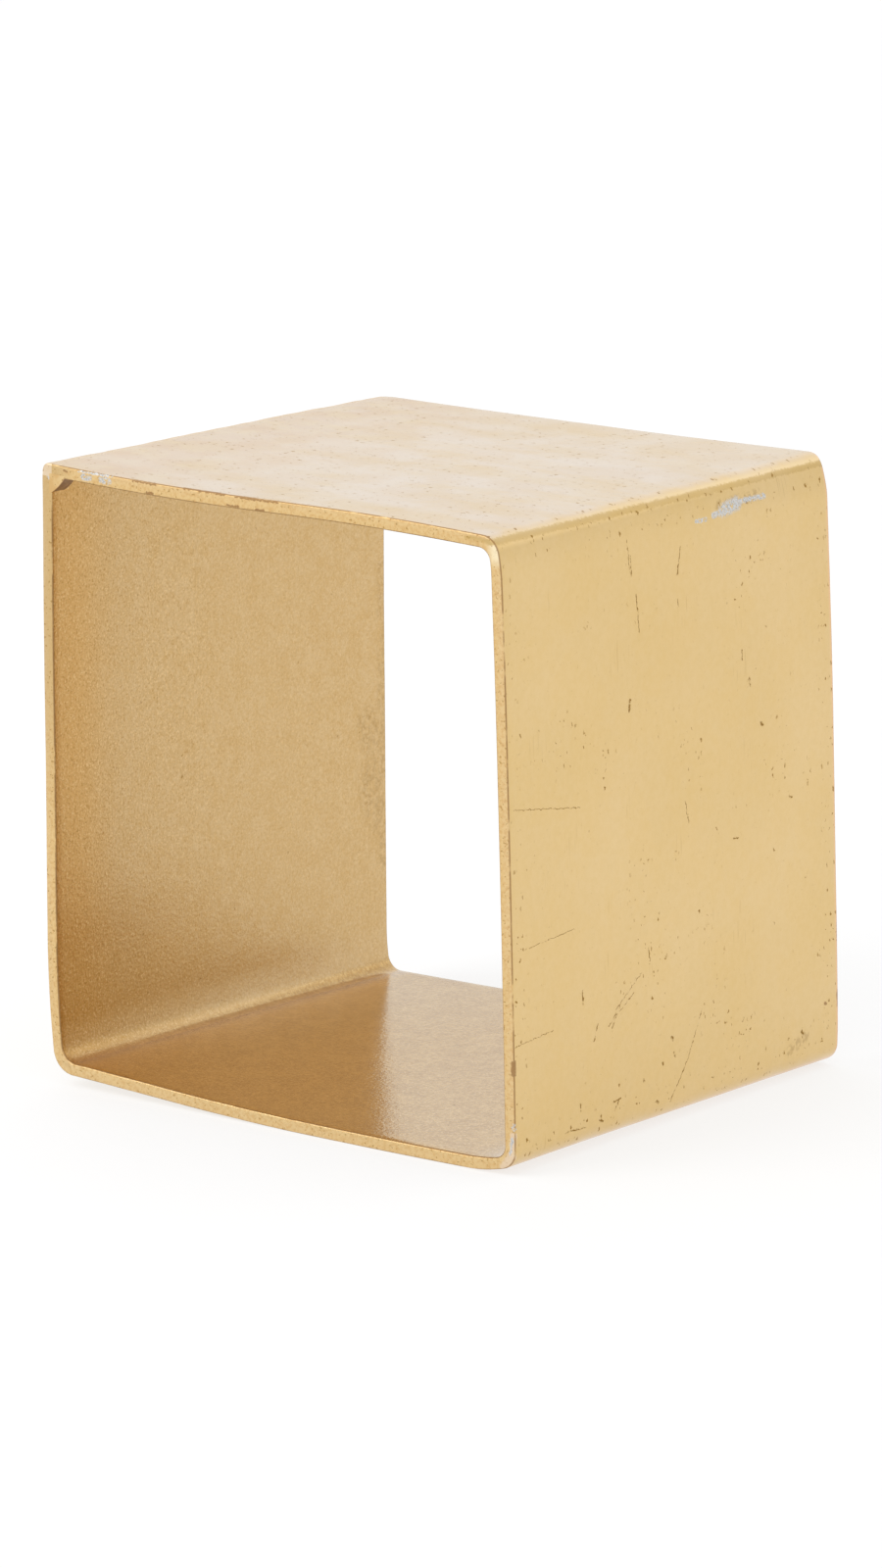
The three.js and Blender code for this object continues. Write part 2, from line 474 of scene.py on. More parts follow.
class Graph:
    """Adds nodes to one tree and links them as they are made."""

    def __init__(self, tree):
        self.tree = tree
        self.tree.nodes.clear()

    def node(self, kind, inputs=None, **settings):
        """A new node. inputs maps a socket's name or number to a value, or to the output that feeds it."""
        made = self.tree.nodes.new(kind)
        for name, value in settings.items():
            setattr(made, name, value)
        for name, value in (inputs or {}).items():
            if isinstance(value, bpy.types.NodeSocket):
                self.tree.links.new(value, made.inputs[name])
            else:
                made.inputs[name].default_value = value
        return made

    def maths(self, operation, *values):
        return self.node("ShaderNodeMath", dict(enumerate(values)), operation=operation).outputs[0]

    def vectors(self, operation, *values):
        return self.node("ShaderNodeVectorMath", dict(enumerate(values)), operation=operation).outputs[0]

    def measure(self, operation, *values):
        made = self.node("ShaderNodeVectorMath", dict(enumerate(values)), operation=operation)
        return made.outputs["Value"]

    def between(self, value, low, high):
        """0 at low, 1 at high, and smooth between them. low may be above high."""
        ends = {"Value": value, "From Min": low, "From Max": high}
        return self.node("ShaderNodeMapRange", ends, interpolation_type="SMOOTHSTEP").outputs[0]

    def colours(self, share, first, second):
        """A mix of two colours: the first where share is 0, the second where it is 1."""
        made = self.node("ShaderNodeMix", data_type="RGBA")
        for socket, value in zip((made.inputs[0], made.inputs[6], made.inputs[7]), (share, first, second)):
            if isinstance(value, bpy.types.NodeSocket):
                self.tree.links.new(value, socket)
            else:
                socket.default_value = value if isinstance(value, float) else (*value, 1.0)
        return made.outputs[2]

    def layered(self, colour, layers):
        """The colour with others laid over it in turn. layers pairs a mask with its colour."""
        for mask, tint in layers:
            colour = self.colours(mask, colour, tint)
        return colour

    def noise(self, place, scale, detail=2.0, roughness=0.5):
        settings = {"Vector": place, "Scale": scale, "Detail": detail, "Roughness": roughness}
        return self.node("ShaderNodeTexNoise", settings).outputs["Fac"]

    def attribute(self, name):
        return self.node("ShaderNodeAttribute", attribute_name=name).outputs["Fac"]

    def together(self, *masks):
        """The strongest of several masks."""
        whole = masks[0]
        for mask in masks[1:]:
            whole = self.maths("MAXIMUM", whole, mask)
        return whole

    def every(self, *masks):
        """The product of several masks."""
        whole = masks[0]
        for mask in masks[1:]:
            whole = self.maths("MULTIPLY", whole, mask)
        return whole


# ------ the gold paint

GOLD_OUTSIDE = (0.75, 0.535, 0.24)
GOLD_OUTSIDE_DEEP = (0.715, 0.497, 0.195)
# A painted highlight for the bend above the right leaf.
GOLD_BEND_HIGHLIGHT = (1.0, 0.80, 0.46)
GOLD_INSIDE = (0.65, 0.455, 0.225)
GOLD_INSIDE_DEEP = (0.60, 0.39, 0.158)
GOLD_INSIDE_MOUTH = (0.655, 0.40, 0.14)
GOLD_INSIDE_LOW = (0.53, 0.295, 0.07)
GOLD_BASE = (0.62, 0.395, 0.135)
GOLD_BASE_DEEP = (0.43, 0.235, 0.05)
GOLD_RIM = (0.76, 0.545, 0.26)
GOLD_RIM_DEEP = (0.68, 0.44, 0.18)
# Painted shade on the rim half way up the left leaf.
GOLD_RIM_SHADE = (0.58, 0.40, 0.18)
PALE_RIM = (0.82, 0.68, 0.54)
BARE_METAL = (0.66, 0.66, 0.65)
# A painted pale reflection on the top leaf.
REFLECTION_PALE = (0.635, 0.53, 0.455)
# The bead's gold, with the painted pale reflection of the top leaf mixed in.
GOLD_WITH_REFLECTION = (0.78, 0.62, 0.43)
GOLD_WITH_REFLECTION_DEEP = (0.74, 0.56, 0.34)
BEND_SHADE = (0.58, 0.39, 0.13)
# Painted shade on the tack fillets, behind the mouths.
TACK_SHADE = (0.30, 0.165, 0.065)
# Dark brown of real scratches, scuffs and dirt, also used for the painted shade in the crease at the foot
# of the left leaf.
GRIME_AND_SHADE = (0.25, 0.125, 0.01)
ARRIS_GRIME = (0.33, 0.175, 0.06)
BROWN_SPECK = (0.30, 0.15, 0.008)
# Painted highlight on the back arris of the right leaf, and painted reflection under its foot bend.
PEACH_HIGHLIGHT = (0.84, 0.50, 0.27)
# The peach of the blotches in the painted reflection on the top leaf.
PEACH_REFLECTION = (0.66, 0.45, 0.26)
# Painted highlight on the front rim at the top right bend.
RIM_HIGHLIGHT = (0.97, 0.86, 0.60)
# Painted glints in the grain inside.
GOLD_GLINT = (0.84, 0.60, 0.30)
DULL_METAL = (0.34, 0.33, 0.31)

# Marks on the right leaf, as (y, z, y, z, half width): the two ends of a stroke, in millimetres.
RIGHT_SCRATCHES = (
    (-16.4, 137.6, -15.6, 130.0, 0.14),
    (-15.2, 134.0, -15.0, 129.0, 0.12),
    (-13.5, 124.5, -13.0, 119.5, 0.24),
    (-13.0, 119.5, -12.7, 116.0, 0.18),
    (4.2, 133.0, 3.4, 129.8, 0.2),
    (3.4, 129.8, 2.6, 126.6, 0.26),
    (2.6, 121.0, 2.8, 119.5, 0.22),
    (-17.0, 101.0, -17.4, 98.4, 0.4),
    (29.6, 98.2, 29.9, 96.6, 0.45),
    (44.6, 67.8, 45.6, 67.4, 0.35),
    (22.0, 61.9, 23.8, 61.6, 0.2),
    (-27.6, 27.0, -24.4, 30.0, 0.14),
    (-26.4, 26.4, -23.2, 31.2, 0.14),
    (-24.8, 30.4, -14.8, 37.2, 0.13),
    (-23.6, 29.6, -18.0, 33.0, 0.11),
    (-33.4, 24.6, -31.8, 28.6, 0.16),
    (-37.4, 37.2, -37.2, 34.2, 0.3),
    (-12.0, 42.4, -11.6, 39.4, 0.22),
    (8.6, 24.0, 2.6, 13.0, 0.13),
    (2.6, 13.0, -4.4, 4.4, 0.13),
    (-63.0, 29.4, -48.6, 30.4, 0.1),
    (-61.6, 83.4, -37.0, 79.6, 0.1),
    (-58.6, 51.0, -40.0, 52.2, 0.09),
    (-43.8, 5.7, -36.8, 5.3, 0.22),
    (-3.4, 19.6, -3.0, 18.8, 0.45),
    (-2.6, 15.8, -2.2, 15.0, 0.4),
    (-9.6, 5.6, -9.0, 5.4, 0.45),
    (34.0, 87.0, 34.3, 86.6, 0.55),
    (48.4, 10.4, 49.0, 10.0, 0.5),
    (-38.7, 11.2, -38.6, 9.4, 0.25),
    (-26.0, 9.1, -23.4, 9.3, 0.22),
    (-24.2, 9.0, -25.6, 6.9, 0.22),
    (-14.5, 11.8, -14.3, 11.4, 0.4),
    (-7.0, 14.3, -6.9, 13.9, 0.35),
    (-31.4, 5.8, -30.2, 5.4, 0.35),
    (27.0, 105.5, 27.1, 103.0, 0.24),
    (3.2, 74.0, 4.6, 68.6, 0.14),
)
# Where specks crowd on the right leaf, as bands with the same five numbers.
RIGHT_SPECK_BANDS = (
    (39.0, 78.0, 40.5, 73.0, 5.5),
    (-58.0, 5.0, 20.0, 5.0, 5.0),
    (20.0, 5.0, 58.0, 9.0, 5.0),
    (36.0, 6.0, 44.0, 6.5, 5.5),
    (-50.0, 141.5, 58.0, 141.5, 3.6),
    (60.0, 8.0, 61.0, 110.0, 3.4),
    (-61.0, 10.0, -61.0, 60.0, 3.0),
    (26.0, 118.5, 33.0, 116.5, 2.6),
    (-14.0, 60.0, -10.0, 30.0, 7.0),
    (10.0, 22.0, 30.0, 14.0, 5.0),
)
# Scuffed and dirty places on the right leaf.
RIGHT_SCUFFS = (
    (43.5, 6.6, 50.0, 9.0, 1.7),
    (20.0, 140.0, 36.0, 140.4, 1.6),
)
# Paint is gone here, down to the bright metal.
RIGHT_CHIPS = (
    (21.4, 138.8, 27.2, 139.6, 1.9),
    (17.4, 138.2, 22.0, 138.8, 0.9),
    (27.0, 139.9, 38.2, 139.8, 0.75),
    (10.6, 137.8, 14.6, 137.8, 0.55),
)
# A painted shade line at the foot of the bend at the top of the right leaf.
RIGHT_BEND_SHADE_LINE = ((-64.0, 143.9, 64.0, 143.7, 0.8),)
# Dirt packed in nicks of the back arris of the right leaf.
RIGHT_NICKS = (
    (63.4, 29.8, 63.4, 34.0, 0.35),
    (63.6, 14.4, 63.6, 17.2, 1.0),
    (58.0, 15.4, 58.4, 15.2, 0.5),
)
# Dirt on the inner face of the left leaf.
LEFT_DIRT = (
    (60.0, 50.0, 62.0, 44.0, 9.0),
    (63.0, 104.0, 63.0, 30.0, 3.2),
    (56.0, 66.0, 58.0, 60.0, 5.0),
)
# Marks on the front edge of the bar, as (x, z, x, z, half width).
FRONT_CHIPS = (
    (-55.6, 145.6, -53.6, 145.4, 0.85),
    (-50.2, 145.4, -47.8, 145.3, 0.9),
    (-57.0, 146.7, -47.0, 146.5, 0.25),
    (-66.4, 145.0, -65.8, 144.0, 0.5),
    (69.0, 11.6, 69.0, 10.4, 0.4),
    (68.8, 8.2, 68.2, 4.6, 0.45),
)
# The foot of the front right corner is worn pale.
FRONT_WORN = (
    (68.8, 9.0, 68.4, 4.0, 0.9),
    (68.4, 4.0, 66.4, 1.2, 1.3),
)
FRONT_GRIME = (
    (-61.2, 146.3, -60.4, 146.2, 0.4),
    (-40.6, 146.3, -33.8, 146.0, 0.3),
    (-25.6, 146.2, -13.6, 146.0, 0.32),
    (-10.4, 145.9, 2.0, 145.9, 0.28),
    (-36.6, 143.9, -34.6, 143.9, 0.35),
    (-12.6, 143.7, -9.4, 143.7, 0.3),
    (-4.4, 143.6, -2.0, 143.6, 0.35),
    (68.9, 25.8, 68.9, 23.2, 0.6),
)

# Fields of hairlines, as (angle in degrees, length, width, share of the paint that has them, strength).
HAIRLINES = (
    (12.0, 16.0, 0.35, 0.42, 0.35),
    (78.0, 11.0, 0.3, 0.4, 0.35),
    (-40.0, 9.0, 0.3, 0.38, 0.3),
)
# Patterns of specks, as (cell, largest radius, share of the cells that hold one, seed).
SPARSE_SPECKS = (4.4, 0.3, 0.055, 3.0)
DENSE_SPECKS = (1.5, 0.3, 0.3, 9.0)
TINY_SPECKS = (0.8, 0.17, 0.16, 21.0)
INSIDE_SPECKS = (5.0, 0.34, 0.14, 15.0)

RIGHT_FROM = 55.0  # the x beyond which a point outside is on the right leaf
LEFT_TO = -55.0  # the x up to which a point is on the left leaf
FRONT_SKIN = 0.8  # how far behind the front plane the front edge of the bar reaches
JOG = 1.1  # the range over which the edges of marks stray
STROKE_CORE = 0.45  # the share of a stroke's half width that is at full strength
STROKE_EDGE = 1.15  # and the share of it where the stroke ends
COAT_ROUGHNESS = 0.2


def stroke_group():
    """A node group: how strongly a place lies on a stroke, 1 in its middle and 0 beside it."""
    group = bpy.data.node_groups.new("stroke", "ShaderNodeTree")
    for name in ("Place", "Start", "End"):
        group.interface.new_socket(name, in_out="INPUT", socket_type="NodeSocketVector")
    group.interface.new_socket("Half Width", in_out="INPUT", socket_type="NodeSocketFloat")
    group.interface.new_socket("Mask", in_out="OUTPUT", socket_type="NodeSocketFloat")
    graph = Graph(group)
    given = graph.node("NodeGroupInput").outputs
    run = graph.vectors("SUBTRACT", given["End"], given["Start"])
    reach = graph.vectors("SUBTRACT", given["Place"], given["Start"])
    dot_reach = graph.measure("DOT_PRODUCT", reach, run)
    dot_run = graph.measure("DOT_PRODUCT", run, run)
    share = graph.node("ShaderNodeClamp", {"Value": graph.maths("DIVIDE", dot_reach, dot_run)}).outputs[0]
    nearest = graph.node("ShaderNodeVectorMath", {0: run, "Scale": share}, operation="SCALE").outputs[0]
    distance = graph.measure("LENGTH", graph.vectors("SUBTRACT", reach, nearest))
    inner = graph.maths("MULTIPLY", given["Half Width"], STROKE_CORE)
    outer = graph.maths("MULTIPLY", given["Half Width"], STROKE_EDGE)
    mask = graph.between(distance, outer, inner)
    graph.node("NodeGroupOutput", {"Mask": mask})
    return group


STROKE = stroke_group()


def strokes(graph, flat_place, marks):
    """The strongest of many strokes on one flat of the object."""
    masks = []
    for a, b, c, d, half_width in marks:
        given = {"Place": flat_place, "Start": (a, b, 0.0), "End": (c, d, 0.0), "Half Width": half_width}
        masks.append(graph.node("ShaderNodeGroup", given, node_tree=STROKE).outputs["Mask"])
    return graph.together(*masks)


def specks(graph, flat_place, cell, radius, share, seed):
    """Small specks: about that share of the cells of a flat pattern holds one of up to that radius."""
    moved = graph.vectors("ADD", flat_place, (seed, seed * 1.7, 0.0))
    pattern = {"Vector": moved, "Scale": 1.0 / cell}
    cells = graph.node("ShaderNodeTexVoronoi", pattern, voronoi_dimensions="2D").outputs
    split = graph.node("ShaderNodeSeparateColor", {0: cells["Color"]}).outputs
    size = graph.maths("MULTIPLY", split[1], radius / cell)
    spot = graph.between(cells["Distance"], size, graph.maths("MULTIPLY", size, 0.65))
    return graph.every(spot, graph.maths("GREATER_THAN", split[0], 1.0 - share))


def hairlines(graph, strip_place, angle, length, width, share):
    """Fine straight scratches in one direction on the unrolled bar."""
    turn = {"Rotation": (0.0, 0.0, math.radians(angle)), "Scale": (1 / length, 1 / width, 1.0)}
    turned = graph.node("ShaderNodeMapping", {"Vector": strip_place, **turn}).outputs[0]
    streaks = graph.noise(turned, 1.0, 1.0)
    patches = graph.noise(strip_place, 0.055, 2.0)
    covered = graph.between(patches, 1.0 - share, 1.08 - share)
    return graph.every(graph.between(streaks, 0.68, 0.76), covered)


def finish_shader(graph, colour, roughness, metallic, height, coat):
    """The paint's shader. height is in millimetres."""
    bump = graph.node("ShaderNodeBump", {"Height": height, "Strength": 1.0, "Distance": MM}).outputs[0]
    shader = graph.node(
        "ShaderNodeBsdfPrincipled",
        {
            "Base Color": colour,
            "Roughness": roughness,
            "Metallic": metallic,
            "Coat Weight": coat,
            "Coat Roughness": COAT_ROUGHNESS,
            "Normal": bump,
        },
    )
    graph.node("ShaderNodeOutputMaterial", {"Surface": shader.outputs[0]})


def millimetre_place(graph):
    """The place on the object, in millimetres."""
    coordinates = graph.node("ShaderNodeTexCoord").outputs["Object"]
    scaling = {0: coordinates, "Scale": 1.0 / MM}
    return graph.node("ShaderNodeVectorMath", scaling, operation="SCALE").outputs[0]


class BarGraph(Graph):
    """The graph of the bar's paint, with sockets that say where a point of the bar lies."""

    def __init__(self, tree):
        super().__init__(tree)
        self.place = millimetre_place(self)
        self.strip = self.node("ShaderNodeUVMap", uv_map="strip").outputs[0]
        self.x, self.y, self.z = self.node("ShaderNodeSeparateXYZ", {0: self.place}).outputs
        self.inside = self.attribute("inside")
        self.outside = self.maths("SUBTRACT", 1.0, self.inside)
        self.rim = self.attribute("rim")
        self.off_rim = self.maths("SUBTRACT", 1.0, self.rim)
        self.outer_arris = self.attribute("outer_arris")
        self.inner_arris = self.attribute("inner_arris")
        self.on_right = self.every(self.maths("GREATER_THAN", self.x, RIGHT_FROM), self.outside)
        self.on_front = self.maths("LESS_THAN", self.y, FRONT + FRONT_SKIN)
        self.on_base = self.between(self.z, 6.0, THICKNESS + 1.0)
        high_up = self.between(self.z, HEIGHT - 4.0, HEIGHT - 2.6)
        self.on_top = self.every(high_up, self.between(self.x, 64.6, 61.0), self.outside, self.off_rim)
        self.jog = self.disturbance()
        self.right_flat = self.vectors("ADD", self.flat(self.y, self.z), self.jog)
        self.front_flat = self.vectors("ADD", self.flat(self.x, self.z), self.jog)

    def disturbance(self):
        """A small irregular shift in a flat, so that marks have ragged edges."""
        settings = {"Vector": self.place, "Scale": 1.3, "Detail": 3.0}
        ragged = self.node("ShaderNodeTexNoise", settings).outputs["Color"]
        centred = self.vectors("SUBTRACT", ragged, (0.5, 0.5, 0.5))
        return self.vectors("MULTIPLY", centred, (JOG, JOG, 0.0))

    def flat(self, first, second):
        """Two of the axes as a place in a flat."""
        return self.node("ShaderNodeCombineXYZ", {0: first, 1: second}).outputs[0]

    def right_marks(self, marks):
        """The strokes of a table for the right leaf."""
        return self.every(strokes(self, self.right_flat, marks), self.on_right)

    def front_marks(self, marks):
        """The strokes of a table for the front edge."""
        return self.every(strokes(self, self.front_flat, marks), self.on_front)


def outside_gold(bar):
    """Slow clouds and a fine mottle."""
    cloudy = bar.between(bar.noise(bar.place, 0.035, 3.0), 0.35, 0.65)
    fine = bar.between(bar.noise(bar.place, 0.55, 5.0, 0.75), 0.36, 0.64)
    mixed = bar.maths("MULTIPLY_ADD", fine, 0.45, bar.maths("MULTIPLY", cloudy, 0.55))
    return bar.colours(mixed, GOLD_OUTSIDE, GOLD_OUTSIDE_DEEP)


def inside_gold(bar):
    """Grainy, warmer low down and at the front mouth, deeper on the base, with painted glints and painted
    shade in the grain that are coarser towards the mouth.
    """
    mottle = bar.noise(bar.place, 0.22, 3.0)
    grain = bar.noise(bar.place, 1.0, 3.0, 0.6)
    grainy = bar.between(bar.maths("ADD", grain, bar.maths("MULTIPLY", mottle, 0.5)), 0.5, 1.0)
    at_mouth = bar.between(bar.y, -38.0, -58.0)
    low_down = bar.every(bar.between(bar.z, 50.0, 8.0), bar.between(bar.y, 15.0, -50.0), 0.62)
    coarse = bar.maths("MULTIPLY_ADD", bar.between(bar.y, 20.0, -50.0), 0.3, 0.3)
    # Painted glints and painted shade in the grain.
    glint = bar.between(bar.noise(bar.place, 1.9, 2.0, 0.6), 0.5, 0.68)
    shade = bar.between(bar.noise(bar.place, 1.7, 2.0, 0.6), 0.48, 0.32)
    layers = (
        (at_mouth, GOLD_INSIDE_MOUTH),
        (low_down, GOLD_INSIDE_LOW),
        (bar.on_base, bar.colours(grainy, GOLD_BASE, GOLD_BASE_DEEP)),
        (bar.every(glint, coarse), GOLD_GLINT),
        (bar.every(shade, coarse), GOLD_BASE_DEEP),
    )
    return bar.layered(bar.colours(grainy, GOLD_INSIDE, GOLD_INSIDE_DEEP), layers)


def rim_gold(bar):
    """Patchy, with a painted highlight where the front rim turns the top right bend, and painted shade
    half way up the left leaf.
    """
    patchy = bar.between(bar.noise(bar.place, 1.1, 4.0, 0.65), 0.4, 0.68)
    bend = bar.every(bar.between(bar.x, 60.5, 63.5), bar.between(bar.z, 137.5, 141.0))
    bright = bar.every(bend, bar.maths("LESS_THAN", bar.y, 0.0), 0.75)
    rim_shade = bar.every(bar.between(bar.x, -58.0, -64.0), bar.between(bar.z, 50.0, 110.0), 0.65)
    gold = bar.colours(patchy, GOLD_RIM, GOLD_RIM_DEEP)
    return bar.layered(gold, ((bright, RIM_HIGHLIGHT), (rim_shade, GOLD_RIM_SHADE)))


def peach_edge_highlights(bar):
    """The painted highlight along the back arris of the right leaf and the painted reflection of the floor
    on the underside of its bend, as two masks.
    """
    back = bar.every(bar.between(bar.y, DEPTH / 2 - 1.3, DEPTH / 2 - 0.4), bar.outside)
    back = bar.every(back, bar.maths("GREATER_THAN", bar.x, 60.0), 0.7)
    under = bar.every(bar.between(bar.z, 2.4, 0.9), bar.on_right)
    return back, bar.every(under, bar.off_rim, 0.5)


def painted_top_reflection(bar):
    """The painted pale reflection that lies in clouds on the top leaf, thinner to the left and at the back.
    """
    drawn_out = bar.vectors("MULTIPLY", bar.place, (0.7, 1.6, 1.0))
    hazy = bar.between(bar.noise(drawn_out, 0.05, 5.0, 0.6), 0.3, 0.6)
    clouds = bar.maths("MULTIPLY_ADD", hazy, 0.7, 0.3)
    from_left = bar.maths("MULTIPLY_ADD", bar.between(bar.x, -70.0, -10.0), 0.5, 0.5)
    to_back = bar.maths("MULTIPLY_ADD", bar.between(bar.y, 15.0, 62.0), -0.4, 1.0)
    return bar.every(clouds, bar.on_top, from_left, to_back)


def peach_reflection_blotches(bar):
    """The peach blotches in the painted reflection at the left of the top leaf."""
    blotchy = bar.between(bar.noise(bar.place, 0.11, 4.0, 0.65), 0.36, 0.6)
    return bar.every(bar.between(bar.x, -5.0, -60.0), bar.on_top, blotchy, 0.75)


def bend_highlight_and_shade(bar):
    """The painted highlight on the bend above the right leaf and the painted shade line at its foot,
    as two masks.
    """
    bend = bar.every(bar.between(bar.x, 61.0, 64.5), bar.between(bar.z, 143.8, 144.8))
    line = bar.right_marks(RIGHT_BEND_SHADE_LINE)
    return bar.every(bend, bar.outside, bar.off_rim, 0.8), bar.every(line, 0.85)


def foot_crease_shade(bar):
    """The painted shade in the crease inside, at the foot of the left leaf."""
    middle = INNER["left"].meet(INNER["base"]) + Vector((2.6, 0.6))
    crease = ((middle.x, middle.y, middle.x + 0.8, middle.y, 1.7),)
    return bar.every(strokes(bar, bar.flat(bar.x, bar.z), crease), bar.inside, 0.22)


def scuffs(bar):
    patchy = bar.between(bar.noise(bar.place, 0.8, 4.0, 0.7), 0.42, 0.6)
    return bar.every(bar.right_marks(RIGHT_SCUFFS), patchy, 0.35)


def handled_gold(bar, top_reflection):
    """The paint's colour with the painted reflection on the top leaf, painted highlights and shade, wear
    and soiling, but without marks.
    """
    gold = bar.colours(bar.inside, outside_gold(bar), inside_gold(bar))
    gold = bar.colours(bar.rim, gold, rim_gold(bar))
    back, under = peach_edge_highlights(bar)
    bend, bend_line = bend_highlight_and_shade(bar)
    worn = bar.every(bar.front_marks(FRONT_WORN), 0.6)
    layers = (
        # Painted highlight on the back arris of the right leaf.
        (back, PEACH_HIGHLIGHT),
        # Painted pale reflection on the top leaf, and its peach blotches.
        (bar.every(top_reflection, 0.62), REFLECTION_PALE),
        (peach_reflection_blotches(bar), PEACH_REFLECTION),
        # Painted highlight on the top right bend, then the painted shade line at its foot.
        (bend, GOLD_BEND_HIGHLIGHT),
        (bend_line, BEND_SHADE),
        # Painted reflection of the floor under the bend at the foot of the right leaf.
        (under, PEACH_HIGHLIGHT),
        # Painted shade in the crease at the foot of the left leaf.
        (foot_crease_shade(bar), GRIME_AND_SHADE),
        (worn, PALE_RIM),
        (scuffs(bar), GRIME_AND_SHADE),
    )
    return bar.layered(gold, layers)


def scratch_marks(bar):
    """The right leaf's scratches, broken into dots, and hairlines all over the outside."""
    dotted = bar.between(bar.noise(bar.place, 0.9, 3.0, 0.7), 0.36, 0.52)
    masks = [bar.every(bar.right_marks(RIGHT_SCRATCHES), dotted)]
    for angle, length, width, share, strength in HAIRLINES:
        field = hairlines(bar, bar.strip, angle, length, width, share)
        masks.append(bar.every(field, bar.outside, bar.off_rim, strength))
    return bar.together(*masks)


def busy_places(bar):
    """Where specks crowd: in bands of the right leaf, near the arrises, in patches and on the top leaf."""
    crowded = bar.right_marks(RIGHT_SPECK_BANDS)
    near_arris = bar.every(bar.between(bar.outer_arris, 8.0, 1.0), 0.6)
    patches = bar.between(bar.noise(bar.place, 0.06, 2.0), 0.52, 0.68)
    top_leaf = bar.every(bar.between(bar.z, HEIGHT - 4.5, HEIGHT - 2.5), 0.85)
    return bar.together(crowded, near_arris, patches, top_leaf)


def speck_marks(bar):
    """Short dashes outside, a few round specks inside, and pits on the rim."""
    busy = busy_places(bar)
    ragged = bar.vectors("ADD", bar.strip, bar.vectors("MULTIPLY", bar.jog, (1.5, 1.5, 0.0)))
    dashes = bar.vectors("MULTIPLY", ragged, (0.5, 1.0, 1.0))
    sparse = specks(bar, dashes, *SPARSE_SPECKS)
    dense = bar.every(specks(bar, dashes, *DENSE_SPECKS), busy)
    tiny = bar.every(specks(bar, dashes, *TINY_SPECKS), bar.together(busy, 0.2))
    outside = bar.every(bar.together(sparse, dense, tiny), bar.outside, bar.off_rim)
    inside = bar.every(specks(bar, ragged, *INSIDE_SPECKS), bar.inside, 0.5)
    pitted = bar.every(bar.between(bar.noise(bar.place, 1.5, 2.0), 0.62, 0.7), bar.rim, 0.6)
    return bar.together(outside, inside, pitted)


def grime_lines(bar):
    """Grime in nicks and along the arrises, broken up along its length, but not at the seam inside."""
    broken = bar.between(bar.noise(bar.place, 0.2, 4.0, 0.6), 0.3, 0.5)
    corner = INNER["left"].meet(INNER["top"])
    seam = ((corner.x, corner.y, corner.x + 0.5, corner.y, 9.0),)
    clear_of_seam = bar.maths("SUBTRACT", 1.0, strokes(bar, bar.front_flat, seam))
    return bar.together(
        bar.every(bar.between(bar.outer_arris, 0.36, 0.1), broken),
        bar.every(bar.between(bar.inner_arris, 0.36, 0.12), broken, clear_of_seam, 0.9),
        bar.front_marks(FRONT_GRIME),
        bar.right_marks(RIGHT_NICKS),
    )


def bare_metal(bar):
    """Where the paint is gone, with torn edges."""
    right = bar.right_marks(RIGHT_CHIPS)
    front = bar.front_marks(FRONT_CHIPS)
    torn = bar.between(bar.noise(bar.place, 1.6, 3.0), 0.36, 0.5)
    return bar.every(bar.together(right, front), torn)


def metal_colour(bar):
    tarnish = bar.between(bar.noise(bar.place, 2.4, 3.0, 0.7), 0.46, 0.6)
    return bar.colours(bar.every(tarnish, 0.75), BARE_METAL, DULL_METAL)


def left_leaf_dirt(bar):
    """Dirt on the inner face of the left leaf, along its back edge."""
    dirty = strokes(bar, bar.flat(bar.y, bar.z), LEFT_DIRT)
    on_left = bar.maths("LESS_THAN", bar.x, LEFT_TO)
    patchy = bar.between(bar.noise(bar.place, 0.7, 4.0, 0.7), 0.4, 0.66)
    return bar.every(dirty, on_left, patchy, bar.inside, 0.3)


def paint_roughness(bar, dirty):
    rough = bar.maths("ADD", 0.31, bar.maths("MULTIPLY", bar.rim, 0.14))
    rough = bar.maths("SUBTRACT", rough, bar.every(bar.inside, bar.on_base, 0.18))
    return bar.maths("ADD", rough, bar.maths("MULTIPLY", dirty, 0.25))


def paint_height(bar, sunken):
    """The relief of the paint, in millimetres. sunken pairs each mark's mask with its depth."""
    peel_depth = bar.maths("MULTIPLY_ADD", bar.on_base, -0.015, 0.075)
    layers = (
        bar.every(bar.noise(bar.place, 0.07, 2.0), bar.outside, 0.05),
        bar.every(bar.noise(bar.place, 0.35, 2.0), bar.outside, 0.008),
        bar.every(bar.noise(bar.place, 1.2, 3.0), bar.inside, peel_depth),
        bar.every(bar.noise(bar.place, 1.6, 2.0), 0.003),
        bar.every(bar.noise(bar.place, 1.1, 3.0), bar.rim, 0.04),
    )
    height = layers[0]
    for layer in layers[1:]:
        height = bar.maths("ADD", height, layer)
    for mask, depth in sunken:
        height = bar.maths("SUBTRACT", height, bar.maths("MULTIPLY", mask, depth))
    return height


def paint_coat(bar, marks):
    """How much clear gloss lies over the paint: more outside, in clouds, and on the base inside and in the
    bend beside it, but hardly any on a mark."""
    bloom = bar.between(bar.noise(bar.place, 0.07, 4.0, 0.6), 0.38, 0.62)
    foot = bar.every(bar.between(bar.z, 16.0, 8.0), bar.between(bar.x, -56.0, -62.0), bar.inside)
    coat = bar.maths("MULTIPLY_ADD", bar.every(bar.outside, bloom), 0.4, 0.15)
    coat = bar.maths("MULTIPLY_ADD", bar.outside, 0.3, coat)
    coat = bar.maths("MULTIPLY_ADD", bar.every(bar.inside, bar.on_base), 0.3, coat)
    coat = bar.maths("MULTIPLY_ADD", foot, 0.45, coat)
    return bar.maths("MULTIPLY", coat, bar.maths("MULTIPLY_ADD", marks, -0.85, 1.0))


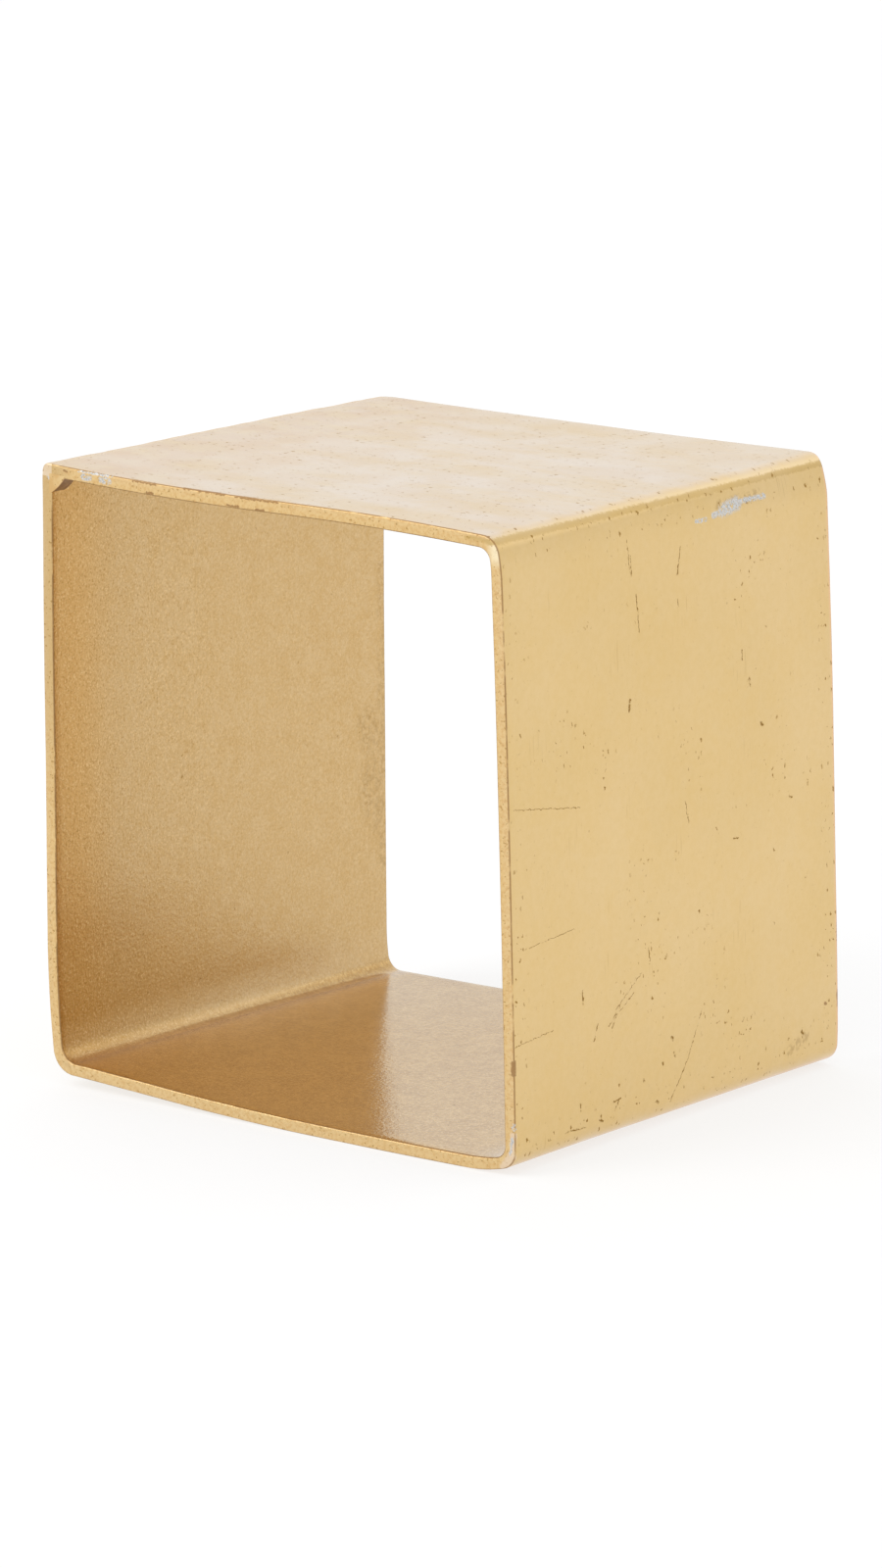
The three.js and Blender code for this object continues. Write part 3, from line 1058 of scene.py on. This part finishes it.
def painted_bar_material():
    """Gold paint on the whole bar."""
    material = bpy.data.materials.new("gold_paint_on_bar")
    material.use_nodes = True
    bar = BarGraph(material.node_tree)
    # The painted pale reflection on the top leaf.
    top_reflection = painted_top_reflection(bar)
    scratches = scratch_marks(bar)
    speckled = speck_marks(bar)
    lines = grime_lines(bar)
    bare = bare_metal(bar)
    layers = (
        (bar.every(scratches, 0.95), GRIME_AND_SHADE),
        (bar.every(speckled, 0.85), BROWN_SPECK),
        (left_leaf_dirt(bar), GRIME_AND_SHADE),
        (bar.every(lines, 0.85), ARRIS_GRIME),
        (bare, metal_colour(bar)),
    )
    colour = bar.layered(handled_gold(bar, top_reflection), layers)
    rough = paint_roughness(bar, bar.together(lines, speckled))
    metallic = bar.maths("SUBTRACT", 1.0, bar.together(bar.every(lines, 0.5), bar.every(top_reflection, 0.5)))
    sunken = ((bare, 0.05), (scratches, 0.02), (speckled, 0.02), (lines, 0.03))
    height = paint_height(bar, sunken)
    coat = paint_coat(bar, bar.together(speckled, scratches, lines))
    finish_shader(bar, colour, rough, metallic, height, coat)
    return material


def painted_weld_material(name, gold, deep, lumps, shade=None):
    """Gold paint over weld metal: lumps is the height of its unevenness, and shade the colour of the
    painted shade on what lies behind the mouths, where that differs."""
    material = bpy.data.materials.new(name)
    material.use_nodes = True
    graph = Graph(material.node_tree)
    place = millimetre_place(graph)
    cloudy = graph.between(graph.noise(place, 0.3, 3.0), 0.4, 0.62)
    speckled = graph.between(graph.noise(place, 1.4, 2.0), 0.64, 0.72)
    colour = graph.colours(cloudy, gold, deep)
    if shade:
        through = graph.node("ShaderNodeSeparateXYZ", {0: place}).outputs[1]
        behind = graph.between(graph.maths("ABSOLUTE", through), DEPTH / 2 - 0.05, DEPTH / 2 - 0.5)
        colour = graph.colours(behind, colour, shade)
    colour = graph.colours(graph.every(speckled, 0.7), colour, BROWN_SPECK)
    rough = graph.maths("ADD", 0.38, graph.maths("MULTIPLY", speckled, 0.25))
    metallic = graph.maths("SUBTRACT", 1.0, graph.maths("MULTIPLY", speckled, 0.5))
    height = graph.maths("MULTIPLY", graph.noise(place, 0.8, 3.0), lumps)
    finish_shader(graph, colour, rough, metallic, height, 0.25)
    return material


# ------ the pieces

band = folded_band()
band.data.materials.append(painted_bar_material())
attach(band, "root")
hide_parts("folded_band")

bead = corner_bead()
# The bead's gold has the painted pale reflection of the top leaf mixed in.
bead.data.materials.append(painted_weld_material("gold_paint_on_bead", GOLD_WITH_REFLECTION, GOLD_WITH_REFLECTION_DEEP, 0.01))
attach(bead, "root")
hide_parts("corner_seam_weld")

PIECES = [band, bead]
# The fillets carry a painted shade behind the mouths.
fillet_paint = painted_weld_material("gold_paint_on_fillet", GOLD_RIM, GOLD_RIM_DEEP, 0.05, TACK_SHADE)
for node, side in (("front_tack_weld", -1), ("rear_tack_weld", 1)):
    fillet = tack_fillet(f"{node}_painted", side)
    fillet.data.materials.append(fillet_paint)
    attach(fillet, "root")
    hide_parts(node)
    PIECES.append(fillet)

# ------ the studio, in metres

FLOOR_REACH = 9.0
FLOOR_COLOUR = (0.22, 0.22, 0.22, 1.0)
FLOOR_GLOW = 0.73  # its own light, which takes the background up to white
# The greys of the surround, as (height from 0 straight down to 1 straight up, grey).
SKY_GREYS = ((0.0, 0.475), (0.5, 0.485), (0.61, 0.445), (0.725, 0.575), (0.83, 0.53), (1.0, 0.5))
SKY_STRENGTH = 2.0
KEY_PLACE = (-0.7, -1.3, 1.5)
KEY_TARGET = (0.0, 0.0, 0.05)
KEY_SIZE = 1.1
KEY_POWER = 12.0  # in watts
CAMERA_PLACE = (1.0641, -1.3839, 0.4591)
CAMERA_DOWN = 12.586  # degrees below the level
CAMERA_ROUND = 37.565  # degrees round from looking along +y
CAMERA_LENS = 174.99
CAMERA_REACH = 50.0


def lowest_point():
    """The height of the lowest vertex of the pieces, where the floor lies."""
    return min((piece.matrix_world @ vertex.co).z for piece in PIECES for vertex in piece.data.vertices)


def floor():
    mesh = bpy.data.meshes.new("floor")
    level = lowest_point()
    sides = ((-1, -1), (1, -1), (1, 1), (-1, 1))
    corners = [(x * FLOOR_REACH, y * FLOOR_REACH, level) for x, y in sides]
    mesh.from_pydata(corners, [], [(0, 1, 2, 3)])
    ground = bpy.data.objects.new("floor", mesh)
    bpy.context.collection.objects.link(ground)
    material = bpy.data.materials.new("pale_paper")
    material.use_nodes = True
    graph = Graph(material.node_tree)
    paper = {
        "Base Color": FLOOR_COLOUR,
        "Roughness": 0.9,
        "Emission Color": (1.0, 1.0, 1.0, 1.0),
        "Emission Strength": FLOOR_GLOW,
    }
    shader = graph.node("ShaderNodeBsdfPrincipled", paper)
    graph.node("ShaderNodeOutputMaterial", {"Surface": shader.outputs[0]})
    mesh.materials.append(material)


def sky():
    """A soft surround, brightest half way up, as in a light tent."""
    world = bpy.data.worlds.new("studio")
    bpy.context.scene.world = world
    world.use_nodes = True
    graph = Graph(world.node_tree)
    direction = graph.node("ShaderNodeTexCoord").outputs["Generated"]
    height = graph.node("ShaderNodeSeparateXYZ", {0: direction}).outputs[2]
    ramp = graph.node("ShaderNodeValToRGB", {"Fac": graph.maths("MULTIPLY_ADD", height, 0.5, 0.5)})
    stops = ramp.color_ramp.elements
    for position, _ in SKY_GREYS[1:-1]:
        stops.new(position)
    for stop, (_, grey) in zip(stops, SKY_GREYS):
        stop.color = (grey, grey, grey, 1.0)
    background = graph.node("ShaderNodeBackground", {"Color": ramp.outputs[0], "Strength": SKY_STRENGTH})
    graph.node("ShaderNodeOutputWorld", {"Surface": background.outputs[0]})


def key_light():
    """A square softbox, high up at the front left."""
    lamp = bpy.data.lights.new("key", "AREA")
    lamp.shape = "SQUARE"
    lamp.size = KEY_SIZE
    lamp.energy = KEY_POWER
    holder = bpy.data.objects.new("key", lamp)
    holder.location = KEY_PLACE
    holder.rotation_euler = (Vector(KEY_TARGET) - Vector(KEY_PLACE)).to_track_quat("-Z", "Y").to_euler()
    holder.visible_camera = False
    bpy.context.collection.objects.link(holder)


def camera():
    """The camera at the photograph's viewing angle."""
    lens = bpy.data.cameras.new("camera")
    lens.lens = CAMERA_LENS
    lens.clip_end = CAMERA_REACH
    holder = bpy.data.objects.new("camera", lens)
    holder.location = CAMERA_PLACE
    holder.rotation_euler = (math.radians(90.0 - CAMERA_DOWN), 0.0, math.radians(CAMERA_ROUND))
    bpy.context.collection.objects.link(holder)
    bpy.context.scene.camera = holder


floor()
sky()
key_light()
camera()
bpy.context.scene.view_settings.view_transform = "Standard"
